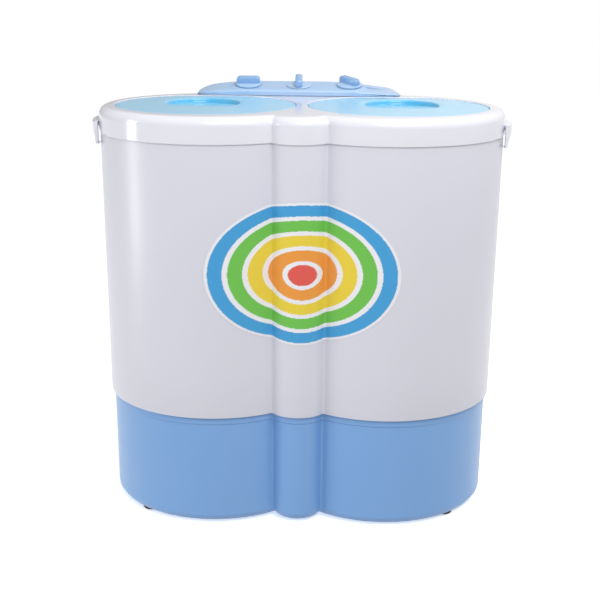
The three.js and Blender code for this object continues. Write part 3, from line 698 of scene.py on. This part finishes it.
def panel_height(x, y):
    """Height of the panel's face over the frame: a tilted plane that falls away to both ends."""
    full = PANEL_Z + (y - PANEL_Y) * math.tan(PANEL_TILT) - TOP_Z - 0.3
    from_left = min(1.0, max(0.0, (x - PANEL_X + PANEL_HALF_X) / LEFT_RUN))
    from_right = PANEL_X + PANEL_HALF_X - x
    slope = math.sqrt(1 - (1 - from_left) ** 2) * float(np.interp(from_right, *zip(*RIGHT_SLOPE)))
    seat = 0.0
    for knob in KNOB_PIVOTS.values():
        away = math.hypot(x - knob.x, y - knob.y)
        t = min(1.0, max(0.0, (BOSS_R + 5 - away) / 5))
        seat = max(seat, t * t * (3 - 2 * t))
    share = 0.12 + 0.88 * slope
    return full * (share + (1 - share) * seat)


def panel_ring(inset, share, drop=0.0):
    """The panel's outline at a share of its height, less a drop."""
    r = PANEL_R - inset
    run = PANEL_HALF_X - PANEL_R
    outline = arc(PANEL_X - run, PANEL_Y, r, math.pi / 2, 1.5 * math.pi, 40)
    outline += [(PANEL_X - run + 2 * run * i / 110, PANEL_Y - r) for i in range(1, 110)]
    outline += arc(PANEL_X + run, PANEL_Y, r, -math.pi / 2, math.pi / 2, 40)
    outline += [(PANEL_X + run - 2 * run * i / 110, PANEL_Y + r) for i in range(1, 110)]
    return [(x, y, TOP_Z + 0.3 + max(0.0, panel_height(x, y) - drop) * share) for x, y in outline]


def control_panel():
    rings = [panel_ring(0.6, 0.0), panel_ring(0, 0.06), panel_ring(0, 0.5), panel_ring(0, 1.0, 3.4),
             panel_ring(0.3, 1.0, 2.0), panel_ring(1.0, 1.0, 0.9), panel_ring(2.0, 1.0, 0.25)]
    rings += [panel_ring(inset, 1.0) for inset in (3.4, 5, 7, 9, 11, 13, 15, 17, 19, 21)]
    obj = raw_object("control_panel_moulding", [loft(rings)], PANEL)
    finished(obj, HOUSING, ["control_panel"], 50)


def knob_place(name, turn):
    return (Matrix.Translation(KNOB_PIVOTS[name] * MM) @ Matrix.Rotation(PANEL_TILT, 4, "X")
            @ Matrix.Rotation(math.radians(turn), 4, "Z"))


KNOB_TOP = 12.3


def knobs():
    for name, node, body, turn, skirt_top in (
            ("wash", "wash_timer_knob", "wash_timer_knob", 0, 3.6),
            ("spin", "spin_timer_knob", "spin_timer_knob", -45, 3.6),
            ("selector", "selector_knob", "drain_selector", 90, 1.5)):
        skirt = softened([(0, 0.5), (17.4, 0.5), (17.4, skirt_top - 0.6), (16.4, skirt_top),
                          (0, skirt_top + 0.3)], 0.8, 4)
        grip = softened([(-16.4, 1), (16.4, 1), (16.4, KNOB_TOP - 3), (13.6, KNOB_TOP), (-13.6, KNOB_TOP),
                         (-16.4, KNOB_TOP - 3)], 5, 6, closed=True)
        half, middle = 4.9, KNOB_TOP / 2
        rings = []
        for y, inset in ((-half, 1.6), (-half + 0.5, 0.7), (-half + 1.5, 0.0), (half - 1.5, 0.0),
                         (half - 0.5, 0.7), (half, 1.6)):
            rings.append([(x * (1 - inset / 16.5), y, middle + (z - middle) * (1 - inset / 8))
                          for x, z in grip])
        pointer = block(11.4, 14.6, -0.6, 0.6, KNOB_TOP - 0.8, KNOB_TOP - 0.1)
        place = knob_place(name, turn)
        disc = raw_object(f"{node}_skirt", [turned(skirt, sides=SMALL_TURN)], KNOB_SKIRT, place)
        finished(disc, body, angle=40)
        obj = raw_object(f"{node}_moulding", [loft(rings), pointer], KNOB, place)
        finished(obj, body, [node], 40)


# ---------- Geometry Nodes: what repeats ----------
def new_tree(name, inputs):
    tree = bpy.data.node_groups.new(name, "GeometryNodeTree")
    for label, kind, value in inputs:
        socket = tree.interface.new_socket(label, in_out="INPUT", socket_type=kind)
        if value is not None:
            socket.default_value = value
    tree.interface.new_socket("Geometry", in_out="OUTPUT", socket_type="NodeSocketGeometry")
    return tree


def set_input(modifier, label, value):
    socket = next(s for s in modifier.node_group.interface.items_tree
                  if s.item_type == "SOCKET" and s.in_out == "INPUT" and s.name == label)
    modifier[socket.identifier] = value


def grown(name, tree, settings, place=None):
    """An object whose mesh is what the tree makes, as plain mesh."""
    carrier = bpy.data.objects.new(name, bpy.data.meshes.new(name))
    bpy.context.scene.collection.objects.link(carrier)
    modifier = carrier.modifiers.new("grow", "NODES")
    modifier.node_group = tree
    for label, value in settings.items():
        set_input(modifier, label, value)
    baked(carrier)
    if place:
        carrier.data.transform(place)
    return carrier


def tick_ring_tree():
    """Short bars round part of a circle, as the marks round a dial."""
    tree = new_tree("dial_ticks", [
        ("Count", "NodeSocketInt", 9), ("Radius", "NodeSocketFloat", 0.02),
        ("Sweep", "NodeSocketFloat", 4.7), ("Length", "NodeSocketFloat", 0.002),
        ("Width", "NodeSocketFloat", 0.0006), ("Material", "NodeSocketMaterial", None)])
    given = add_node(tree, "NodeGroupInput").outputs
    path = add_node(tree, "GeometryNodeCurveArc", {
        "Resolution": given["Count"], "Radius": given["Radius"], "Sweep Angle": given["Sweep"]})
    dots = add_node(tree, "GeometryNodeCurveToPoints", {
        "Curve": path.outputs["Curve"], "Count": given["Count"]})
    size = add_node(tree, "ShaderNodeCombineXYZ", {"X": given["Width"], "Y": given["Length"], "Z": 0.0003})
    bar = add_node(tree, "GeometryNodeMeshCube", {"Size": size.outputs[0]})
    spread = add_node(tree, "GeometryNodeInstanceOnPoints", {
        "Points": dots.outputs["Points"], "Instance": bar.outputs["Mesh"],
        "Rotation": dots.outputs["Rotation"]})
    whole = add_node(tree, "GeometryNodeRealizeInstances", {"Geometry": spread.outputs["Instances"]})
    inked = add_node(tree, "GeometryNodeSetMaterial", {
        "Geometry": whole.outputs["Geometry"], "Material": given["Material"]})
    add_node(tree, "NodeGroupOutput", {"Geometry": inked.outputs["Geometry"]})
    return tree


def dial_ticks():
    tree = tick_ring_tree()
    for name, count, sweep, start in (("wash", 13, 4.8, -1.15), ("spin", 7, 4.8, -1.15),
                                      ("selector", 3, 1.6, 0.8)):
        place = knob_place(name, math.degrees(start)) @ Matrix.Translation((0, 0, 0.0001))
        obj = grown(f"{name}_dial_ticks", tree, {
            "Count": count, "Radius": 0.0192, "Sweep": sweep, "Material": MARKING}, place)
        finished(obj, HOUSING)


def screw_tree():
    """A pan-head screw on each given corner of a rectangle grid in X and Z, facing +Y."""
    tree = new_tree("panel_screws", [
        ("Across", "NodeSocketFloat", 0.16), ("Up", "NodeSocketFloat", 0.3),
        ("Columns", "NodeSocketInt", 2), ("Rows", "NodeSocketInt", 3),
        ("Head", "NodeSocketFloat", 0.0035), ("Material", "NodeSocketMaterial", None)])
    given = add_node(tree, "NodeGroupInput").outputs
    grid = add_node(tree, "GeometryNodeMeshGrid", {
        "Size X": given["Across"], "Size Y": given["Up"], "Vertices X": given["Columns"],
        "Vertices Y": given["Rows"]})
    head = add_node(tree, "GeometryNodeMeshCylinder", {
        "Vertices": 24, "Radius": given["Head"], "Depth": 0.0014})
    slots = [add_node(tree, "GeometryNodeMeshCube", {"Size": size})
             for size in ((0.0045, 0.0008, 0.002), (0.0008, 0.0045, 0.002))]
    raised = [add_node(tree, "GeometryNodeTransform", {
        "Geometry": s.outputs["Mesh"], "Translation": (0, 0, 0.001)}) for s in slots]
    cut = add_node(tree, "GeometryNodeMeshBoolean", {"Mesh 1": head.outputs["Mesh"]}, operation="DIFFERENCE")
    for part in raised:
        tree.links.new(part.outputs["Geometry"], cut.inputs["Mesh 2"])
    spread = add_node(tree, "GeometryNodeInstanceOnPoints", {
        "Points": grid.outputs["Mesh"], "Instance": cut.outputs["Mesh"]})
    whole = add_node(tree, "GeometryNodeRealizeInstances", {"Geometry": spread.outputs["Instances"]})
    plated = add_node(tree, "GeometryNodeSetMaterial", {
        "Geometry": whole.outputs["Geometry"], "Material": given["Material"]})
    add_node(tree, "NodeGroupOutput", {"Geometry": plated.outputs["Geometry"]})
    return tree


def cover_screws():
    lo, hi = low("rear_cover"), high("rear_cover")
    middle = Vector((0, hi.y - 0.75, (lo.z + hi.z) / 2))
    place = Matrix.Translation(middle * MM) @ Matrix.Rotation(-math.pi / 2, 4, "X")
    obj = grown("rear_cover_screws", screw_tree(), {
        "Across": (hi.x - lo.x - 16) * MM, "Up": (hi.z - lo.z - 16) * MM, "Rows": 3,
        "Material": STEEL}, place)
    finished(obj, HOUSING)


# ---------- moving pieces inside the wells ----------
def pulsator():
    bottom, rim, hub = low("pulsator").z, 84.0, 22.0
    rings = []
    for k in range(37):
        r = max(0.01, rim * k / 36)
        ring = []
        for i in range(192):
            a = 2 * math.pi * i / 192
            dish = 182 + 12 * math.exp(-(r / 20) ** 2) + 1.5 * (1 - r / rim)
            phase = 3 * (a + 0.55 * r / rim)
            vane = math.exp(-((1 - math.cos(phase)) * 7)) * 12 * math.sin(math.pi * min(1, r / rim)) ** 0.7
            edge = max(0.0, (r - rim + 5) / 5)
            fade = 1 - edge
            ring.append((WASH.x + r * math.cos(a), r * math.sin(a),
                         min(197.5, dish + vane * fade * (r > hub * 0.4)) - 6 * edge * edge))
        rings.append(ring)
    turns = [2 * math.pi * i / 192 for i in range(192)]
    rings.append([(WASH.x + 78 * math.cos(a), 78 * math.sin(a), bottom) for a in turns])
    cap = turned(softened([(0, 192), (9.4, 192), (9.4, 198), (6, 200.6), (0, 200.9)], 2.0), WASH.x, 0,
                 SMALL_TURN)
    obj = raw_object("pulsator_moulding", [loft(rings), cap], PULSATOR)
    finished(obj, "pulsator", ["pulsator", "pulsator_cap"], 50)


def spin_basket():
    columns = 60
    floor_profile = softened([(0.01, 205.5), (11, 205.5), (21, 184), (86, 181.5), (94, 190)], 6, 5)
    wall_levels = [190 + (429.5 - 190) * k / 20 for k in range(21)]
    levels = floor_profile + [(94.5 + 3.2 * (z - 190) / 240, z) for z in wall_levels[1:]]
    rings = [[(SPIN.x + r * math.cos(2 * math.pi * i / columns), r * math.sin(2 * math.pi * i / columns), z)
              for i in range(columns)] for r, z in levels]
    points, faces = loft(rings, caps=False)
    mesh = bpy.data.meshes.new("spin_basket_moulding")
    mesh.from_pydata([Vector(p) * MM for p in points], [], faces)
    bm = bmesh.new()
    bm.from_mesh(mesh)
    first = len(floor_profile) + 2
    cells = [f for f in bm.faces if first <= f.index // columns < len(levels) - 3
             and (f.index // columns + f.index % columns) % 2 == 0]
    bmesh.ops.inset_individual(bm, faces=cells, thickness=2.4 * MM)
    bmesh.ops.delete(bm, geom=cells, context="FACES")
    bmesh.ops.recalc_face_normals(bm, faces=bm.faces)
    bm.to_mesh(mesh)
    bm.free()
    mesh.materials.append(TUB)
    obj = bpy.data.objects.new("spin_basket_moulding", mesh)
    bpy.context.scene.collection.objects.link(obj)
    wall = obj.modifiers.new("wall", "SOLIDIFY")
    wall.thickness = 2.2 * MM
    wall.offset = 0
    rounder = obj.modifiers.new("round", "SUBSURF")
    rounder.levels = rounder.render_levels = 1
    baked(obj)
    finished(obj, "spin_basket", ["spin_basket"], 50)
    ring = softened([(84, 433), (90, 430.6), (99, 430.6), (99.9, 434), (98, 446), (88, 446.8)], 2.5, 4,
                    closed=True)
    finished(raw_object("balance_ring_moulding", [turned(ring, SPIN.x)], PULSATOR), "spin_basket",
             ["balance_ring"])


def press_disc():
    rim = softened([(81, 400.2), (85.3, 400.2), (85.3, 413.8), (82.4, 413.8), (81, 410)], 1.0, 3, closed=True)
    plate = softened([(0, 404), (82, 404), (82, 406.4), (0, 406.4)], 0.5, 2)
    disc = raw_object("press_disc_plate", [turned(plate, SPIN.x)], PULSATOR)
    holes = []
    for ring_r, count in ((30, 6), (56, 12)):
        for i in range(count):
            a = 2 * math.pi * (i + 0.5) / count
            x, y = SPIN.x + ring_r * math.cos(a), ring_r * math.sin(a)
            holes.append(rod((x, y, 395), (x, y, 415), 5.5, 0.2, 20))
    cutter = raw_object("press_disc_cutter", holes, PULSATOR)
    carved(disc, cutter)
    others = raw_object("press_disc_rim", [
        turned(rim, SPIN.x), rod((SPIN.x - 26, 0, 415), (SPIN.x + 26, 0, 415), 2.8, 1.5),
        rod((SPIN.x - 24, 0, 405), (SPIN.x - 24, 0, 415), 2.6, 1.0),
        rod((SPIN.x + 24, 0, 405), (SPIN.x + 24, 0, 415), 2.6, 1.0)], PULSATOR)
    finished(others, "press_disc")
    finished(disc, "press_disc", ["press_disc"])


def filter_parts():
    lo, hi = low("filter_column"), high("filter_column")
    column = raw_object("filter_column_moulding", [block(lo.x, hi.x, lo.y, hi.y, lo.z, hi.z)], TUB)
    recess = raw_object("filter_recess", [block(lo.x - 4, -24.5, -23, 23, 330, 446)], TUB)
    finished(bevelled(carved(column, recess), 1.6), HOUSING, ["filter_column"])
    body = raw_object("lint_filter_moulding", [block(-36, -26, -22, 22, 334, 442)], PULSATOR)
    window = raw_object("lint_window", [block(-40, -20, -17, 17, 405, 435)], PULSATOR)
    slots = raw_object("lint_slots", [block(-40, -29, -17, 17, 342 + 6 * i, 344.5 + 6 * i)
                                      for i in range(10)], PULSATOR)
    finished(bevelled(carved(body, window, slots), 0.5, 2), HOUSING, ["lint_filter"])


def valve_spring():
    """A coil between its seats, which on the washer shortens as the plunger under it lifts; here it is made at one
    length.
    """
    lo, hi = low("valve_spring"), high("valve_spring")
    wire, turns, steps, sides = 0.9, 4, 112, 10
    x0, y0 = (lo.x + hi.x) / 2, (lo.y + hi.y) / 2
    reach = (hi.x - lo.x) / 2 - wire
    rings = []
    for i in range(steps + 1):
        a = 2 * math.pi * turns * i / steps
        z = lo.z + wire + (hi.z - lo.z - 2 * wire) * i / steps
        outward = Vector((math.cos(a), math.sin(a), 0))
        middle = Vector((x0, y0, z))
        around = [2 * math.pi * k / sides for k in range(sides)]
        rings.append([middle + outward * (reach + wire * math.cos(t)) + Vector((0, 0, wire * math.sin(t)))
                      for t in around])
    obj = raw_object("valve_spring_wire", [loft(rings)], STEEL)
    finished(obj, HOUSING, ["valve_spring"], 60)
    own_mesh(obj)


# ---------- printed ripple on the front ----------
RIPPLE_CENTRE = (5.0, 338.0)
RIPPLE_STRETCH = 1.34  # how much wider than high each ring is
RING_INKS = ["e2574c", "ee9a3a", "ecd23c", "6cc04a", "3f9fd8"]  # from the middle out
RING_PITCH = 18.5
RING_WIDTH = 13.5
FILM_MARGIN = 3.2  # bare white film left round the outer ring
FILM_STEP = 0.8
GRID_SPARE = 2.0  # how far the film's grid runs past its edge


def ripple_radius(x, z):
    return np.hypot((x - RIPPLE_CENTRE[0]) / RIPPLE_STRETCH, z - RIPPLE_CENTRE[1])


def front_y(x, z):
    """The front wall's depth, with the film bridging the valleys beside the column."""
    scale = 1 - DRAFT * np.maximum(0, RIM_Z - z)
    u = np.abs(x / scale)
    lobe = np.sqrt(np.maximum(LOBE_R ** 2 - (u - LOBE_X) ** 2, 0))
    column = -COLUMN_Y + np.sqrt(np.maximum(COLUMN_R ** 2 - u ** 2, 0))
    bridge = 2.4
    both = bridge * np.logaddexp(lobe / bridge, column / bridge)
    return -np.where(u < COLUMN_R, both, lobe) * scale


def ripple_film():
    """Plain oval rings with white between them, printed on one film."""
    reach = RING_PITCH * (len(RING_INKS) - 1) + RING_WIDTH + FILM_MARGIN
    xs = np.arange(-reach * RIPPLE_STRETCH - GRID_SPARE, reach * RIPPLE_STRETCH + GRID_SPARE, FILM_STEP)
    zs = np.arange(-reach - GRID_SPARE, reach + GRID_SPARE, FILM_STEP)
    x, z = np.meshgrid(xs + RIPPLE_CENTRE[0], zs + RIPPLE_CENTRE[1])
    r = ripple_radius(x, z)
    kept = r < reach
    ink = np.ones(x.shape + (4,), float)
    ink[..., :3] = linear("f2f1f6")[:3]
    for i, code in enumerate(RING_INKS):
        ink[(r >= i * RING_PITCH) & (r < i * RING_PITCH + RING_WIDTH), :3] = linear(code)[:3]
    y = front_y(x, z) - 0.4
    rows, columns = x.shape
    used = kept[:-1, :-1] & kept[1:, :-1] & kept[:-1, 1:] & kept[1:, 1:]
    index = np.arange(rows * columns).reshape(rows, columns)
    r, c = np.nonzero(used)
    faces = np.stack([index[r, c], index[r, c + 1], index[r + 1, c + 1], index[r + 1, c]], axis=1)
    numbers, back = np.unique(faces, return_inverse=True)
    points = np.stack([x, y, z], axis=-1).reshape(-1, 3)[numbers] * MM
    mesh = bpy.data.meshes.new("ripple_film")
    mesh.from_pydata(points.tolist(), [], back.reshape(-1, 4).tolist())
    layer = mesh.attributes.new("ink", "FLOAT_COLOR", "POINT")
    layer.data.foreach_set("color", ink.reshape(-1, 4)[numbers].astype(np.float32).ravel())
    mesh.materials.append(VINYL)
    obj = bpy.data.objects.new("ripple_film", mesh)
    bpy.context.scene.collection.objects.link(obj)
    body = obj.modifiers.new("film", "SOLIDIFY")
    body.thickness = 0.25 * MM
    body.offset = -1
    baked(obj)
    finished(obj, HOUSING)


# ---------- floor, light and camera ----------
WORLD_LIGHT = 0.5
SHEEN = (0.42, 0.84)  # how bright reflections see the studio's walls, from its left to its right
# Name, place, width and height, watts, aim: all in metres. Strips make only highlights, fills none.
LIGHTS = (
    ("strip_left", (-1.5, -0.27, 0.45), (0.26, 1.1), 6.0, (-0.2, -0.1, 0.4)),
    ("fill_left", (-1.9, -0.7, 0.5), (0.8, 1.0), 10.5, (0, 0, 0.32)),
    ("softbox_front", (0.4, -1.2, 1.8), (1.4, 0.8), 20.5, (0, 0, 0.46)),
    ("overhead", (0.9, 0.1, 1.8), (1.4, 1.2), 8.0, (0.1, 0, 0.5)),
)


def studio():
    floor = bpy.data.meshes.new("floor")
    floor.from_pydata([(-9, -9, 0), (9, -9, 0), (9, 9, 0), (-9, 9, 0)], [], [(0, 1, 2, 3)])
    paper = surface("paper_white", "ffffff", "fdfdff", 0.9, 3.0, 0.01)
    shader = next(n for n in paper.node_tree.nodes if n.type == "BSDF_PRINCIPLED")
    shader.inputs["Emission Color"].default_value = (1, 1, 1, 1)
    shader.inputs["Emission Strength"].default_value = 0.5
    floor.materials.append(paper)
    plane = bpy.data.objects.new("floor", floor)
    bpy.context.scene.collection.objects.link(plane)
    plane.visible_diffuse = False
    world = bpy.data.worlds.new("studio")
    bpy.context.scene.world = world
    world.use_nodes = True
    tree = world.node_tree
    tree.nodes.clear()
    path = add_node(tree, "ShaderNodeLightPath").outputs
    ahead = add_node(tree, "ShaderNodeTexCoord").outputs["Generated"]
    across = add_node(tree, "ShaderNodeSeparateXYZ", {"Vector": ahead}).outputs["X"]
    sheen = add_node(tree, "ShaderNodeMapRange", {
        "Value": across, "From Min": -0.14, "From Max": 0.1, "To Min": SHEEN[0], "To Max": SHEEN[1]})
    mirrored = add_node(tree, "ShaderNodeMapRange", {
        "Value": path["Is Glossy Ray"], "To Min": WORLD_LIGHT, "To Max": sheen.outputs["Result"]})
    glow = add_node(tree, "ShaderNodeMapRange", {
        "Value": path["Is Camera Ray"], "To Min": mirrored.outputs["Result"], "To Max": 1.0})
    sky = add_node(tree, "ShaderNodeBackground", {"Strength": glow.outputs["Result"], "Color": (1, 1, 1, 1)})
    add_node(tree, "ShaderNodeOutputWorld", {"Surface": sky.outputs[0]})
    for name, place, size, power, aim in LIGHTS:
        light = bpy.data.lights.new(name, "AREA")
        light.shape = "RECTANGLE"
        light.size, light.size_y = size
        light.energy = power
        lamp = bpy.data.objects.new(name, light)
        lamp.location = place
        lamp.rotation_euler = (Vector(aim) - Vector(place)).to_track_quat("-Z", "Y").to_euler()
        lamp.visible_camera = False
        lamp.visible_diffuse = not name.startswith("strip")
        lamp.visible_glossy = not name.startswith("fill")
        bpy.context.scene.collection.objects.link(lamp)
    bpy.context.scene.view_settings.view_transform = "Standard"


def camera():
    yaw, pitch, roll = -0.0191, 0.2757, 0.0086
    ahead = Vector((math.sin(yaw) * math.cos(pitch), math.cos(yaw) * math.cos(pitch), -math.sin(pitch)))
    right = Vector((math.cos(yaw), -math.sin(yaw), 0))
    up = right.cross(ahead)
    across = right * math.cos(roll) + up * math.sin(roll)
    upright = up * math.cos(roll) - right * math.sin(roll)
    lens = bpy.data.cameras.new("camera")
    lens.lens = 69.33
    lens.sensor_width = 36
    eye = bpy.data.objects.new("camera", lens)
    turn = Matrix((across, upright, -ahead)).transposed().to_4x4()
    eye.matrix_world = Matrix.Translation((0.02858, -1.51637, 0.69587)) @ turn
    bpy.context.scene.collection.objects.link(eye)
    bpy.context.scene.camera = eye


studio()
camera()
base_housing()
outer_casing()
top_frame()
twin_tub()
rear_cover()
carry_grips()
feet()
rear_outlets()
lids()
control_panel()
knobs()
dial_ticks()
cover_screws()
pulsator()
spin_basket()
press_disc()
filter_parts()
valve_spring()
ripple_film()
